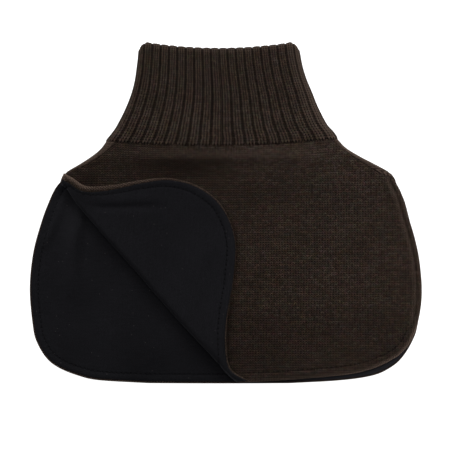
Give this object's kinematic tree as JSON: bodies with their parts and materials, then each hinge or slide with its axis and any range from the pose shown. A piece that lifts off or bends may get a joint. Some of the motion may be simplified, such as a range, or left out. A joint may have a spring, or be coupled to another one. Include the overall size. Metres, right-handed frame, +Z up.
{
  "type": "turtleneck dickey",
  "caption": "Knitted neck dickey lying flat: doubled rib turtleneck collar, rounded front and back bibs with dark lining, one front corner folded over to show it.",
  "frame": {"origin": "middle of the outline's box, on the surface that the dickey lies on", "axes": "+X across the bibs, to the wearer's left; +Y from the hem towards the collar's rim; +Z up, out of the front bib"},
  "size_m": [0.391, 0.3388, 0.021],
  "materials": {
    "rib_knit": "matte heather wool rib",
    "plain_knit": "matte heather wool jersey",
    "lining": "soft brushed lining"
  },
  "bodies": {
    "root": {"collar": "rib_knit", "front_knit": "plain_knit", "front_lining": "lining", "back_knit": "plain_knit", "back_lining": "lining"}
  },
  "joints": []
}
